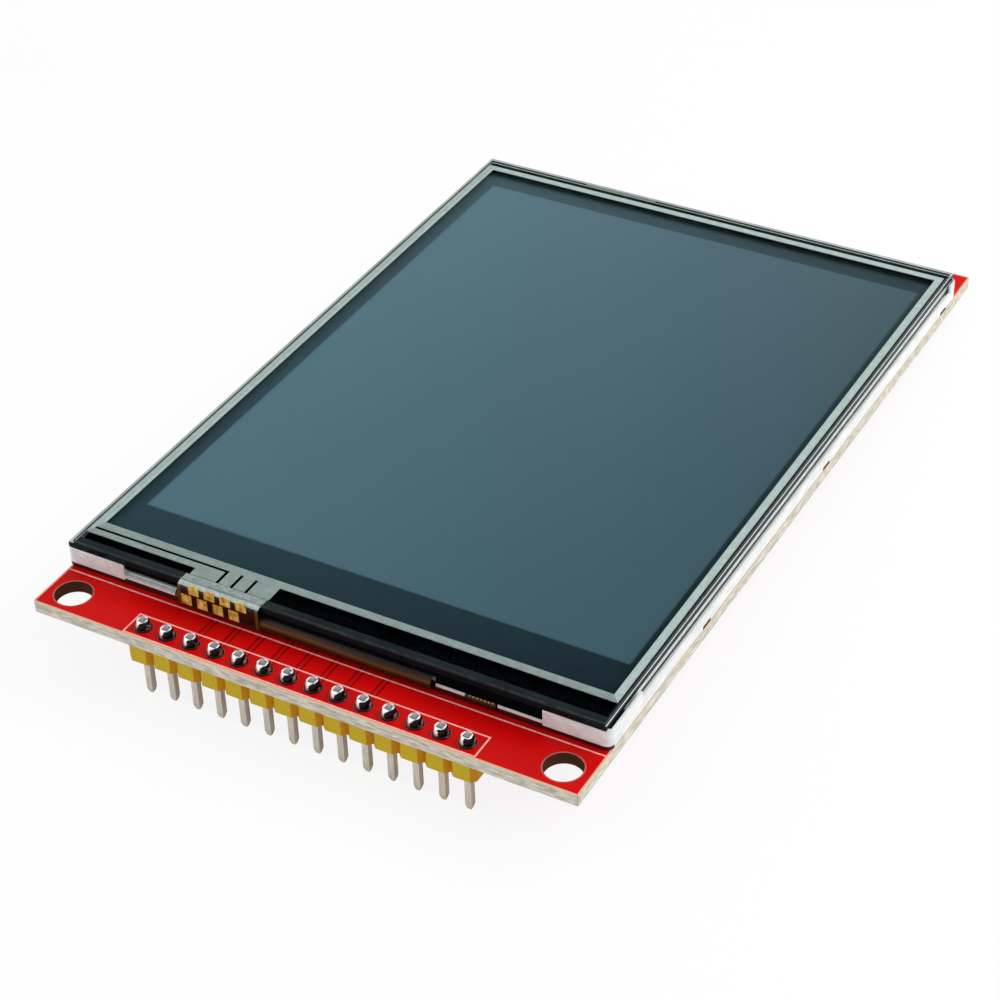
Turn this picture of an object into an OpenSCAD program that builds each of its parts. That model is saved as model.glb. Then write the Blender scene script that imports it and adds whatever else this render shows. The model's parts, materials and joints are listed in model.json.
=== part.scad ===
// TFT display module: a bare circuit board that carries a liquid-crystal display with a
// resistive touch panel, a row of header pins and, underneath, a memory-card socket.
//
// Millimetres. X runs along the header, Y from the header end to the far end and Z up
// through the display. The origin is the centre of the four mounting holes, on the
// underside of the board.

/* [Board] */
// Width of the board
board_w = 55.3; // [55.2:0.1:60]
// Length of the board
board_l = 89.3; // [88.5:0.1:96]
// Thickness of the board
board_t = 1.2; // [0.8:0.1:2]
// Corner radius of the board
board_corner_r = 0.2; // [0.1:0.1:1]
// Diameter of the mounting holes
mount_d = 3.5; // [2.5:0.1:3.6]
// Centre of a mounting hole to the side edge
mount_inset_x = 2.65; // [2.5:0.05:3.2]
// Centre of a mounting hole to the end edge
mount_inset_y = 2.5; // [2.3:0.1:2.8]
// Thickness of the tinned pads
pad_t = 0.05; // [0.03:0.01:0.08]

/* [Header] */
// Number of header pins
pin_count = 14; // [8:1:18]
// Distance between pins
pin_pitch = 2.54; // [2.54:0.01:2.6]
// Pin row to the front edge of the board
pin_row = 1.44; // [1.3:0.01:1.6]
// Side of the square pin
pin_w = 0.64; // [0.5:0.01:0.7]
// Tip of a pin below the underside of the board
pin_below = 6.2; // [5:0.1:9]
// Top of a pin above the board
pin_above = 1.15; // [1.05:0.05:2]
// Length of the tapered pin tip
pin_taper = 0.5; // [0.3:0.05:0.8]
// Depth of the header housing, front to back
housing_w = 2.5; // [2.2:0.05:2.6]
// Height of the header housing
housing_h = 1.9; // [1.5:0.05:2.6]
// Depth of the break notches between housing segments
housing_notch = 0.45; // [0.3:0.05:0.6]
// Drill for a header pin
pin_drill = 1.0; // [0.95:0.01:1.1]
// Diameter of a header pad
pin_pad_d = 1.7; // [1.5:0.05:1.9]
// Height of the solder round a pin
solder_h = 0.85; // [0.6:0.05:0.9]

/* [Display outline] */
// Front of the display to the front edge of the board
display_inset = 5.85; // [5.7:0.05:6.5]
// Middle of the display to the middle of the board
display_shift = -0.2; // [-0.3:0.05:0.1]
// Width of the backlight frame
frame_w = 55.7; // [55:0.1:55.9]
// Length of the backlight frame
frame_l = 79.25; // [76:0.05:79.5]
// Thickness of the frame's side wall
frame_wall = 0.22; // [0.2:0.02:0.4]
// Thickness of the frame's front wall at the corner posts
frame_front_wall = 0.5; // [0.4:0.05:0.6]
// Corner radius of the frame
frame_corner_r = 0.7; // [0.4:0.1:1]
// Width of the frame's side rail
rail_w = 1.9; // [1.6:0.1:2.4]
// Width of the frame's front and far rails
rail_end_w = 1.15; // [1:0.05:1.4]
// Top of the side wall above the board
wall_top = 1.3; // [1.25:0.05:1.8]
// Top of the low front wall above the board
low_wall_top = 0.9; // [0.5:0.05:1]
// Top of the corner posts above the board
post_top = 2.1; // [1.9:0.05:2.15]
// Length of a corner post along the front
post_x = 6.4; // [5:0.1:7]
// Length of a front post along the side
post_front_y = 5.95; // [4:0.05:7]
// Length of a far post along the side
post_far_y = 1.7; // [1.2:0.1:4]

/* [Display layers] */
// Thickness of the tape that holds the display to the board
tape_t = 0.16; // [0.16:0.01:0.2]
// Thickness of the reflector sheet
reflector_t = 0.06; // [0.04:0.01:0.1]
// Thickness of the light guide
guide_t = 0.61; // [0.58:0.01:0.65]
// Thickness of the diffuser and of each prism sheet
film_t = 0.06; // [0.04:0.01:0.08]
// Thickness of the rim tape
rim_t = 0.05; // [0.03:0.01:0.08]
// Thickness of a polariser
polariser_t = 0.1; // [0.08:0.01:0.14]
// Thickness of each display glass
lcd_glass_t = 0.4; // [0.3:0.05:0.5]
// Thickness of the touch panel's mounting adhesive
adhesive_t = 0.1; // [0.05:0.01:0.15]
// Thickness of the touch glass
touch_glass_t = 0.56; // [0.45:0.01:0.7]
// Thickness of the silver traces and of the tail between glass and film
trace_t = 0.08; // [0.05:0.01:0.1]
// Thickness of the touch film
touch_film_t = 0.2; // [0.15:0.01:0.25]
// Gap between the frame's side wall and the display glass
glass_side = 0.28; // [0.15:0.01:0.4]
// Edge of a polariser to the edge of its glass
polariser_inset = 0.3; // [0.2:0.05:0.5]
// Length of the ledge of the rear glass that carries the driver chip
ledge_l = 2.95; // [2.6:0.05:3.4]
// Side of the frame to the side of the touch glass
touch_inset = 0.4; // [0.3:0.05:0.6]
// Touch film to the left edge of the touch glass
film_left = 0.53; // [0.2:0.01:0.6]
// Touch film to the right edge of the touch glass
film_right = 0.13; // [0.1:0.01:0.4]
// Touch film to the front edge of the touch glass
film_front = 0.1; // [0.05:0.01:0.2]
// Touch film to the far edge of the touch glass
film_far = 0.8; // [0.2:0.05:1]

/* [Flat cables] */
// Thickness of a flat cable
flex_t = 0.1; // [0.08:0.01:0.1]
// Left edge of the main flat cable
flex_x0 = -15.6; // [-16.5:0.1:-15.2]
// Right edge of the main flat cable
flex_x1 = 10.8; // [9:0.1:12]
// Gap between the main flat cable and the frame beside it
flex_clear = 0.3; // [0.2:0.05:0.5]
// Folded length of the main flat cable under the display
flex_under = 9; // [6:0.5:14]
// Left edge of the backlight tab
tab_x0 = 14.1; // [13.2:0.1:15]
// Width of the backlight tab
tab_w = 2.9; // [2.4:0.1:4]
// Left edge of the touch tail
tail_x0 = -15.1; // [-15.2:0.1:-14.8]
// Width of the touch tail
tail_w = 8.5; // [7:0.1:9.5]
// Length of the touch tail held between glass and film
tail_grip = 1.0; // [0.8:0.1:1.2]

/* [Silver traces] */
// Width of the ring trace at the front, at the right and at the far end
ring_w = 0.73; // [0.5:0.01:0.9]
// Width of the ring trace at the left
ring_left_w = 0.37; // [0.3:0.01:0.6]
// Ring trace to the right edge of the touch film
ring_right = 0.35; // [0.2:0.05:0.8]
// Ring trace to the far edge of the touch film
ring_far = 0.7; // [0.4:0.05:0.9]
// Ring trace to the front edge of the touch film
ring_front = 2.9; // [2.8:0.05:3.4]
// Width of the lead that runs outside the ring
lead_w = 0.66; // [0.4:0.02:0.7]
// Width of the lead along the left side
lead_left_w = 0.38; // [0.2:0.02:0.5]
// Lead to the left edge of the touch film
lead_left = 0.05; // [0.03:0.01:0.2]
// Gap between neighbouring traces
trace_gap = 0.33; // [0.25:0.01:0.4]

/* [Card socket] */
// Length of the card socket, mouth to rear
socket_l = 27.5; // [26:0.1:30]
// Width of the card socket
socket_w = 27; // [26.6:0.1:29]
// Height of the card socket
socket_h = 2.85; // [2.8:0.05:3.2]
// Mouth of the card socket to the side edge of the board
socket_inset = 0.4; // [0.2:0.1:2]
// Middle of the card socket along the board
socket_y = 6; // [0:0.5:10]
// Thickness of the socket's steel shell
shell_t = 0.2; // [0.15:0.01:0.25]
// Width of the card
card_w = 24.2; // [24:0.1:24.6]
// Height of the card slot
card_h = 2.1; // [2.1:0.01:2.2]

/* [Small parts] */
// Side-looking backlight LEDs
led_count = 6; // [4:1:8]
// Length of a backlight LED
led_l = 3.8; // [2.8:0.1:4]
// Length of the touch controller
controller_l = 5; // [5:0.1:6.5]
// Width of the touch controller
controller_w = 4.4; // [4.3:0.1:4.5]
// Height of the touch controller
controller_h = 1.05; // [0.9:0.05:1.2]
// Pins on each side of the touch controller
controller_pins = 8; // [7:1:10]
// Distance between the touch controller's pins
controller_pitch = 0.65; // [0.6:0.01:0.65]

/* [Hidden] */
$fn = 32;

eps = 0.01;

// Board and header
mount_x = board_w / 2 - mount_inset_x;
mount_y = board_l / 2 - mount_inset_y;
front_y = -board_l / 2;
row_y = front_y + pin_row;
pin_span = (pin_count - 1) * pin_pitch;
pin_x = [for (i = [0 : pin_count - 1]) i * pin_pitch - pin_span / 2];
spare_count = 4;                                 // empty holes at the far end
spare_y = -front_y - pin_row;
spare_x = [for (i = [0 : spare_count - 1]) (i - (spare_count - 1) / 2) * pin_pitch];
peg_d = 1.2;
peg_clear = 0.05;

// Display outline
disp_y0 = front_y + display_inset;               // front face of the frame
disp_y1 = disp_y0 + frame_l;
guide_y0 = disp_y0 + rail_end_w;
guide_y1 = disp_y1 - rail_end_w;
glass_clear = 0.15;                              // ends of the glass to the frame
glass_w = frame_w - 2 * (frame_wall + glass_side);
glass_y0 = disp_y0 + frame_front_wall + glass_clear;
glass_y1 = disp_y1 - frame_wall - glass_clear;
touch_w = frame_w - 2 * touch_inset;
post_side_w = 1;                                 // reach of a post in from the frame's side
filter_y0 = glass_y0 + ledge_l;                  // front edge of the front glass
slip = 0.1;                                      // clearance round loose sheets
rim_w = 0.4;                                     // frame's lower rim round the reflector
seat_gap = 0.02;                                 // under that rim

// Heights of the stacked layers
z_tape = board_t;
z_reflector = z_tape + tape_t;
z_frame = board_t + seat_gap;
z_guide = z_reflector + reflector_t;
z_diffuser = z_guide + guide_t;
z_prism_low = z_diffuser + film_t;
z_prism_up = z_prism_low + film_t;
z_rim = z_prism_up + film_t;
z_rear_pol = z_rim + rim_t;
z_tft = z_rear_pol + polariser_t;
z_filter = z_tft + lcd_glass_t;
z_front_pol = z_filter + lcd_glass_t;
z_adhesive = z_front_pol + polariser_t;
z_touch = z_adhesive + adhesive_t;
z_trace = z_touch + touch_glass_t;
z_film = z_trace + trace_t;
z_top = z_film + touch_film_t;

// Flat cables: each leaves a layer, turns over in front of the display and runs back
under_z = board_t + pad_t + flex_t / 2;          // middle of the folded run
flex_top_z = z_filter + flex_t / 2;              // on the ledge of the rear glass
flex_bend_r = (flex_top_z - under_z) / 2;
flex_bend_y = disp_y0 + 0.35;
flex_bend_z = (flex_top_z + under_z) / 2;
tab_top_z = z_diffuser + flex_t / 2;
tab_bend_r = (tab_top_z - under_z) / 2;
tab_bend_y = disp_y0 + 0.3;
tab_bend_z = (tab_top_z + under_z) / 2;
tab_under = 3;
bond_t = 0.01;                                   // adhesive between tail and main cable
tail_wrap_r = flex_bend_r + flex_t / 2 + trace_t / 2 + bond_t;
tail_bend_y = disp_y0 - 0.05;
tail_bend_r = tail_bend_y - (flex_bend_y - tail_wrap_r);
tail_wrap_end = 238;                             // degrees round the main cable
bond_l = 1.0;                                    // bonded length on the rear glass
chip_w = 19;                                     // driver chip on the ledge
chip_d = 1.2;
chip_gap = 0.35;                                 // between the main cable and the chip
finger_split = [0.3, 3.17, 4.67, 6.22];          // gaps between contacts, from the tail's left
finger_gap = 0.35;
leadframe_t = 0.12;                              // metal of the chips' leads
adhesive_edge = 0.3;                             // adhesive frame to the edge of the glass
adhesive_band = 0.45;

// Card socket
socket_x0 = -board_w / 2 + socket_inset;
socket_x1 = socket_x0 + socket_l;
socket_floor = socket_h - shell_t - card_h;      // plastic between board and card
contact_count = 9;
contact_pitch = 2.5;
contact_w = 0.9;
contact_t = 0.15;
contact_slot = contact_w + 0.4;
contact_reach = 12;                              // from the socket's rear to the fingertips
contact_bend = 4;                                // from the rear to where the arm rises
contact_foot = 1.3;                              // soldered foot behind the socket
contact_drop = 1.15;                             // lowest point of the arm
contact_tip = 1.2;                               // turned-up end of the arm
tip_lift = 0.3;
rear_wall = 2.2;
mouth_lip = 1.5;                                 // shell in front of the plastic floor
peg_l = 0.8;
shell_rear = 1.2;                                // shell stops short of the rear
shell_top = -0.45;                               // edge of the shell's sides below the board
shell_tab = 1.6;                                 // length of a solder tab
shell_tab_x = [3, 21];
tongue = [9, 3];                                 // pressed spring tongues in the cover
tongue_x = 8;
tongue_y = 7;
window = [2.4, 8];                               // openings over the contacts
window_x = 5;
window_y = 6;

// Small parts on the underside, as [x, y, turn]
controller_at = [13, -13, 0];
regulator_at = [15, 5, 90];
transistor_at = [-3, -20, 90];
resistor_at = [
    [6, -19.5, 0], [6, -21.5, 0], [6, -23.5, 0], [13, -19, 90], [15, -19, 90],
    [-7.5, -20, 90], [-9.5, -20, 90], [20, -13, 90]
];
capacitor_at = [[10.5, 5, 90], [19.5, 5, 90], [8, -13, 90], [15, 10.5, 0]];
resistor = [1.6, 0.8, 0.42, 0.32];               // length, width, height, cap length
capacitor = [2.0, 1.25, 0.85, 0.45];
sot_body = [2.9, 1.3, 1.0];
sot_pitch = 0.95;
lead_gap = 0.1;                                  // underside of a package to the board

// ---------------------------------------------------------------- helpers

module slab(x, y, z) {
    // A block between pairs of limits
    translate([x[0], y[0], z[0]]) cube([x[1] - x[0], y[1] - y[0], z[1] - z[0]]);
}

module sheet(w, y, z, t) {
    // A sheet of width w, centred on X
    slab([-w / 2, w / 2], y, [z, z + t]);
}

module on_display() {
    // Everything on the display shares its middle line
    translate([display_shift, 0, 0]) children();
}

module rounded_plate(w, l, r, t) {
    linear_extrude(t) rounded_outline(w, l, r);
}

module rounded_outline(w, l, r) {
    union() {
        square([w - 2 * r, l], center = true);
        square([w, l - 2 * r], center = true);
        for (x = [-1, 1], y = [-1, 1])
            translate([x * (w / 2 - r), y * (l / 2 - r)]) circle(r);
    }
}

module along_x(x0, x1) {
    // Extrudes a (y, z) outline from x0 to x1
    translate([x0, 0, 0]) rotate([90, 0, 90]) linear_extrude(x1 - x0) children();
}

module arc_strip(centre, r, t, a0, a1) {
    // A strip of thickness t bent to radius r, from angle a0 to a1
    far = 3 * (r + t);
    steps = 4;
    translate(centre) intersection() {
        difference() {
            circle(r + t / 2);
            circle(r - t / 2);
        }
        polygon(concat([[0, 0]],
            [for (k = [0 : steps]) far * [cos(a0 + (a1 - a0) * k / steps),
                                          sin(a0 + (a1 - a0) * k / steps)]]));
    }
}

module strip_y(y0, y1, z, t) {
    // A straight run of flat cable in the (y, z) plane
    translate([y0, z - t / 2]) square([y1 - y0, t]);
}

module place_under(at) {
    // Turns a part over and puts it on the underside of the board
    translate([at[0], at[1], 0]) rotate([180, 0, at[2]]) children();
}

module gull_lead(reach, height, w, t) {
    // A bent lead: foot on the board, riser, and a stub into the package
    foot = 0.45;
    translate([0, w / 2, 0]) rotate([90, 0, 0]) linear_extrude(w)
        polygon([
            [0, height], [reach - foot - t, height], [reach - foot, t], [reach, t],
            [reach, 0], [reach - foot - t, 0], [reach - foot - 2 * t, height - t],
            [0, height - t]
        ]);
}

module moulded_body(l, w, h) {
    // A package body that narrows a little above and below its parting line
    draft = 0.06;
    part = h / 2;
    translate([0, 0, 0]) rotate([90, 0, 0]) translate([0, 0, -w / 2]) linear_extrude(w)
        polygon([
            [-l / 2 + draft, 0], [l / 2 - draft, 0], [l / 2, part],
            [l / 2 - draft, h], [-l / 2 + draft, h], [-l / 2, part]
        ]);
}

// ---------------------------------------------------------------- board

module pcb() {
    color("#c8100c") difference() {
        rounded_plate(board_w, board_l, board_corner_r, board_t);
        for (x = [-1, 1], y = [-1, 1])
            translate([x * mount_x, y * mount_y, -eps]) cylinder(d = mount_d, h = board_t + 2 * eps);
        for (x = pin_x)
            translate([x, row_y, -eps]) cylinder(d = pin_drill, h = board_t + 2 * eps);
        for (x = spare_x)
            translate([x, spare_y, -eps]) cylinder(d = pin_drill, h = board_t + 2 * eps);
        peg_places() translate([0, 0, -eps])
            cylinder(d = peg_d + 2 * peg_clear, h = board_t + 2 * eps);
    }
}

module pad_ring(d_out, d_in) {
    difference() {
        cylinder(d = d_out, h = pad_t);
        translate([0, 0, -eps]) cylinder(d = d_in, h = pad_t + 2 * eps);
    }
}

module copper_pads() {
    // Plated rings on both faces
    color("#d8cfae") for (z = [-pad_t, board_t]) translate([0, 0, z]) {
        for (x = pin_x) translate([x, row_y, 0]) pad_ring(pin_pad_d, pin_drill);
        for (x = spare_x) translate([x, spare_y, 0]) pad_ring(pin_pad_d, pin_drill);
    }
}

// ---------------------------------------------------------------- header

module housing_segment() {
    // One eight-sided segment round its pin
    half = pin_pitch / 2;
    side = housing_w / 2;
    waist = side - housing_notch;
    flat = half - housing_notch;
    translate([0, 0, -pad_t - housing_h]) linear_extrude(housing_h) difference() {
        polygon([
            [-half, -waist], [-flat, -side], [flat, -side], [half, -waist],
            [half, waist], [flat, side], [-flat, side], [-half, waist]
        ]);
        square(pin_w, center = true);
    }
}

module header_housing() {
    color("#b5991f") for (x = pin_x) translate([x, row_y, 0]) housing_segment();
}

module header_pin() {
    // A square pin with a tapered tip at each end
    half = pin_w / 2;
    tip = half * 0.55;                           // pointed end, as a share of the pin
    module side_view() {
        polygon([
            [-tip, -pin_below], [tip, -pin_below], [half, -pin_below + pin_taper],
            [half, board_t + pin_above - pin_taper], [tip, board_t + pin_above],
            [-tip, board_t + pin_above], [-half, board_t + pin_above - pin_taper],
            [-half, -pin_below + pin_taper]
        ]);
    }
    intersection() {
        along_x(-half, half) side_view();
        rotate([0, 0, 90]) along_x(-half, half) side_view();
    }
}

module header_pins() {
    color("#c4c0ac") for (x = pin_x) translate([x, row_y, 0]) header_pin();
}

module solder_joint() {
    // A rounded drop of solder round the pin, on a thin skirt over its pad
    skirt_r = pin_pad_d * 0.48;
    skirt_t = 0.05;
    drop_r = pin_pad_d * 0.42;
    neck_r = pin_w * 0.75;
    steps = 7;
    difference() {
        rotate_extrude() polygon(concat(
            [[0, 0], [skirt_r, 0], [skirt_r, skirt_t]],
            [for (k = [0 : steps]) let (a = 90 * k / steps)
                [neck_r + (drop_r - neck_r) * cos(a), 2 * skirt_t + (solder_h - 2 * skirt_t) * sin(a)]],
            [[0, solder_h]]));
        translate([0, 0, solder_h / 2]) cube([pin_w, pin_w, 2 * solder_h], center = true);
    }
}

module header_solder() {
    color("#d5d8da") for (x = pin_x)
        translate([x, row_y, board_t + pad_t]) solder_joint();
}

// ---------------------------------------------------------------- backlight

module display_tape() {
    // Foam tape under each long side of the display
    strip_w = 4;
    inset = 0.8;
    color("#e8e6e0") on_display() for (side = [-1, 1])
        translate([side * (frame_w / 2 - inset - strip_w / 2), 0, 0])
            sheet(strip_w, [disp_y0 + 3 * inset, disp_y1 - 3 * inset], z_tape, tape_t);
}

module reflector_sheet() {
    inset = rim_w + slip;
    color("#f2f2f2") on_display()
        sheet(frame_w - 2 * inset, [guide_y0 - rim_w + slip, disp_y1 - inset],
            z_reflector, reflector_t);
}

module frame_outline() {
    translate([0, (disp_y0 + disp_y1) / 2]) rounded_outline(frame_w, frame_l, frame_corner_r);
}

module frame_pocket() {
    // Room for the display glass above the rails
    translate([-frame_w / 2 + frame_wall, disp_y0 + frame_front_wall])
        square([frame_w - 2 * frame_wall, frame_l - frame_wall - frame_front_wall]);
}

module post_zones() {
    // The four corners where the wall rises to hold the glass
    for (side = [-1, 1]) {
        translate([side > 0 ? frame_w / 2 - post_x : -frame_w / 2, disp_y0])
            square([post_x, frame_front_wall + eps]);
        translate([side > 0 ? frame_w / 2 - post_side_w : -frame_w / 2, disp_y0])
            square([post_side_w, post_front_y]);
        translate([side > 0 ? frame_w / 2 - post_x : -frame_w / 2, disp_y1 - post_far_y])
            square([post_x, post_far_y]);
    }
}

module frame_bottom_notches() {
    // Small openings low in the side walls
    notch = [frame_wall * 2, 1.6, 0.35];
    for (side = [-1, 1], at = [0.235, 0.57, 0.955])
        translate([side * frame_w / 2, disp_y0 + at * frame_l, z_frame + notch[2] / 2])
            cube([notch[0], notch[1], notch[2] + 2 * eps], center = true);
}

module backlight_frame() {
    z_ledge = z_rim;
    front_gap = [flex_x0 - flex_clear, flex_x1 + flex_clear];
    tab_gap = [tab_x0 - flex_clear / 2, tab_x0 + tab_w + flex_clear / 2];
    cable_room = frame_front_wall + 0.1;
    color("#e9ebe8") on_display() difference() {
        union() {
            // Rails up to the ledge that the glass rests on
            translate([0, 0, z_frame]) linear_extrude(z_ledge - z_frame) frame_outline();
            // Thin wall round the sides and the far end
            translate([0, 0, z_ledge - eps])
                linear_extrude(board_t + wall_top - z_ledge + eps) difference() {
                    frame_outline();
                    frame_pocket();
                    translate([-frame_w, disp_y0 - 1]) square([2 * frame_w, 1 + frame_front_wall]);
                }
            // Corner posts
            translate([0, 0, z_ledge - eps])
                linear_extrude(board_t + post_top - z_ledge + eps) difference() {
                    intersection() {
                        frame_outline();
                        post_zones();
                    }
                    frame_pocket();
                }
        }
        // Inside the lower rim, where tape and cables lie
        slab([-frame_w / 2 + rim_w, frame_w / 2 - rim_w], [disp_y0 + rim_w, disp_y1 - rim_w],
            [0, z_reflector]);
        // Window for the light guide, and the seat of the reflector below it
        slab([-frame_w / 2 + rail_w, frame_w / 2 - rail_w], [guide_y0, guide_y1],
            [z_guide - 1, z_top]);
        slab([-frame_w / 2 + rim_w, frame_w / 2 - rim_w], [guide_y0 - rim_w, disp_y1 - rim_w],
            [z_guide - 1, z_guide]);
        // Gaps in the front rail for the flat cables
        slab(front_gap, [disp_y0 - 1, disp_y0 + cable_room], [z_guide - 1, z_top]);
        slab(tab_gap, [disp_y0 - 1, disp_y0 + cable_room], [z_guide - 1, z_top]);
        // Low front wall between the posts
        slab([-frame_w / 2 + post_x, frame_w / 2 - post_x], [disp_y0 - 1, disp_y0 + frame_front_wall],
            [board_t + low_wall_top, z_top]);
        // Shallow seat for the backlight cable across the front rail
        slab([tab_gap[0], tab_gap[1]], [disp_y0 - 1, guide_y0 + eps], [z_diffuser - slip / 2, z_top]);
        frame_bottom_notches();
    }
}

led_strip_w = 2.4;
led_d = 0.9;
guide_w = frame_w - 2 * rail_w - 2 * slip;

module light_guide() {
    color("#dfeef0") on_display()
        sheet(guide_w, [guide_y0 + slip + led_d + slip, guide_y1 - slip], z_guide, guide_t);
}

module led_flex() {
    // Strip over the LEDs, with a tab that turns over in front of the frame
    color("#8a4a1c") on_display() {
        sheet(guide_w, [guide_y0 + slip, guide_y0 + slip + led_strip_w], z_diffuser, flex_t);
        along_x(tab_x0, tab_x0 + tab_w) union() {
            strip_y(tab_bend_y - eps, guide_y0 + slip + eps, tab_top_z, flex_t);
            arc_strip([tab_bend_y, tab_bend_z], tab_bend_r, flex_t, 90, 270);
            strip_y(tab_bend_y - eps, tab_bend_y + tab_under, under_z, flex_t);
        }
    }
}

module backlight_leds() {
    pitch = guide_w / led_count;
    wall = 0.4;
    lip = 0.1;
    outlet = 0.15;
    color("#f4f1d8") on_display() for (i = [0 : led_count - 1])
        translate([(i - (led_count - 1) / 2) * pitch, 0, 0]) difference() {
            slab([-led_l / 2, led_l / 2], [guide_y0 + slip, guide_y0 + slip + led_d],
                [z_guide, z_guide + guide_t]);
            // Light outlet facing the guide
            slab([-led_l / 2 + wall, led_l / 2 - wall],
                [guide_y0 + slip + led_d - outlet, guide_y0 + slip + led_d + 1],
                [z_guide + lip, z_guide + guide_t - lip]);
        }
}

films_y = [guide_y0 + slip + led_strip_w + slip, guide_y1 - slip];

module diffuser_sheet() {
    color("#f5f7f7") on_display() sheet(guide_w, films_y, z_diffuser, film_t);
}

module lower_prism_sheet() {
    color("#eef3f4") on_display() sheet(guide_w - slip, films_y, z_prism_low, film_t);
}

module upper_prism_sheet() {
    color("#eef3f4") on_display() sheet(guide_w - 2 * slip, films_y, z_prism_up, film_t);
}

module rim_tape() {
    // Light-tight tape between the rails and the display glass
    overlap = 0.9;
    color("#1a1a1c") on_display() difference() {
        sheet(glass_w - slip, [glass_y0 + slip, glass_y1 - slip], z_rim, rim_t);
        slab([-guide_w / 2 + overlap, guide_w / 2 - overlap],
            [guide_y0 + led_strip_w + overlap, guide_y1 - overlap], [z_rim - 1, z_rim + 1]);
    }
}

// ---------------------------------------------------------------- display panel

module rear_polariser() {
    color("#3a4a50") on_display()
        sheet(glass_w - 2 * polariser_inset,
            [glass_y0 + polariser_inset, glass_y1 - polariser_inset], z_rear_pol, polariser_t);
}

module tft_glass() {
    color("#9fb4b4") on_display() sheet(glass_w, [glass_y0, glass_y1], z_tft, lcd_glass_t);
}

module colour_filter_glass() {
    color("#a9bcbc") on_display() sheet(glass_w, [filter_y0, glass_y1], z_filter, lcd_glass_t);
}

module front_polariser() {
    color("#3d5b66") on_display()
        sheet(glass_w - 2 * polariser_inset,
            [filter_y0 + polariser_inset, glass_y1 - polariser_inset], z_front_pol, polariser_t);
}

module driver_chip() {
    y = glass_y0 + bond_l + chip_gap;
    color("#2b2d30") on_display()
        translate([(flex_x0 + flex_x1) / 2, 0, 0])
            sheet(chip_w, [y, y + chip_d], z_filter, lcd_glass_t);
}

module ledge_tape() {
    // Black tape over the ledge, folded down in front of the glass
    fold_t = 0.06;
    post_clear = 0.1;
    post_inner = frame_w / 2 - post_x - post_clear;
    skirt_y = disp_y0 + 0.08;
    tape_z = [z_front_pol, z_adhesive];
    flex_outer = flex_bend_z + sqrt(pow(flex_bend_r + flex_t, 2) - pow(flex_bend_y - skirt_y, 2));
    color("#0b0c0e") on_display() union() {
        sheet(glass_w - 2 * polariser_inset,
            [glass_y0 + slip, filter_y0 + polariser_inset - slip], tape_z[0], polariser_t);
        slab([-post_inner, post_inner], [skirt_y, glass_y0 + slip + eps], tape_z);
        // Skirt in front of the glass, short over the cables
        slab([flex_x1 + flex_clear, post_inner], [skirt_y, skirt_y + fold_t],
            [z_diffuser + flex_t, tape_z[1]]);
        slab([-post_inner, flex_x1 + flex_clear], [skirt_y, skirt_y + fold_t],
            [flex_outer, tape_z[1]]);
    }
}

// ---------------------------------------------------------------- flat cables

module main_flex() {
    color("#8a5a1e") on_display() along_x(flex_x0, flex_x1) union() {
        strip_y(flex_bend_y - eps, glass_y0 + bond_l, flex_top_z, flex_t);
        arc_strip([flex_bend_y, flex_bend_z], flex_bend_r, flex_t, 90, 270);
        strip_y(flex_bend_y - eps, flex_bend_y + flex_under, under_z, flex_t);
    }
}

module main_flex_solder() {
    // Soldered contacts at the folded end of the cable
    contact_gap = 0.8;
    pad_w = 0.45;
    pad_l = 1.8;
    count = floor((flex_x1 - flex_x0 - 2) / contact_gap);
    mid = (flex_x0 + flex_x1) / 2;
    color("#d5d8da") on_display() for (i = [0 : count - 1])
        translate([mid + (i - (count - 1) / 2) * contact_gap, 0, 0])
            sheet(pad_w, [flex_bend_y + flex_under - pad_l, flex_bend_y + flex_under],
                board_t, pad_t);
}

module touch_tail() {
    // Runs out between glass and film, drops in front and lies on the main cable
    drop_y = flex_bend_y - tail_wrap_r;
    color("#b98a2c") on_display() along_x(tail_x0, tail_x0 + tail_w) union() {
        strip_y(tail_bend_y - eps, disp_y0 + tail_grip, z_trace + trace_t / 2, trace_t);
        arc_strip([tail_bend_y, z_trace + trace_t / 2 - tail_bend_r], tail_bend_r, trace_t, 90, 180);
        translate([drop_y - trace_t / 2, flex_bend_z - eps])
            square([trace_t, z_trace + trace_t / 2 - tail_bend_r - flex_bend_z + 2 * eps]);
        arc_strip([flex_bend_y, flex_bend_z], tail_wrap_r, trace_t, 180, tail_wrap_end);
    }
}

// ---------------------------------------------------------------- touch panel

touch_y = [disp_y0, disp_y1 - 0.05];
film_x = [-touch_w / 2 + film_left, touch_w / 2 - film_right];
film_y = [touch_y[0] + film_front, touch_y[1] - film_far];
ring_y = [film_y[0] + ring_front, film_y[1] - ring_far];

module touch_adhesive() {
    // Dark adhesive frame between the display and the touch glass
    inner = glass_w / 2 - adhesive_edge - adhesive_band;
    color("#101214") on_display() difference() {
        sheet(glass_w - 2 * adhesive_edge, [glass_y0 + slip, glass_y1 - adhesive_edge],
            z_adhesive, adhesive_t);
        slab([-inner, inner],
            [filter_y0 + adhesive_band, glass_y1 - adhesive_edge - adhesive_band],
            [z_adhesive - 1, z_touch + 1]);
    }
}

module touch_glass() {
    color("#8fa6aa") on_display() sheet(touch_w, touch_y, z_touch, touch_glass_t);
}

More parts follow.
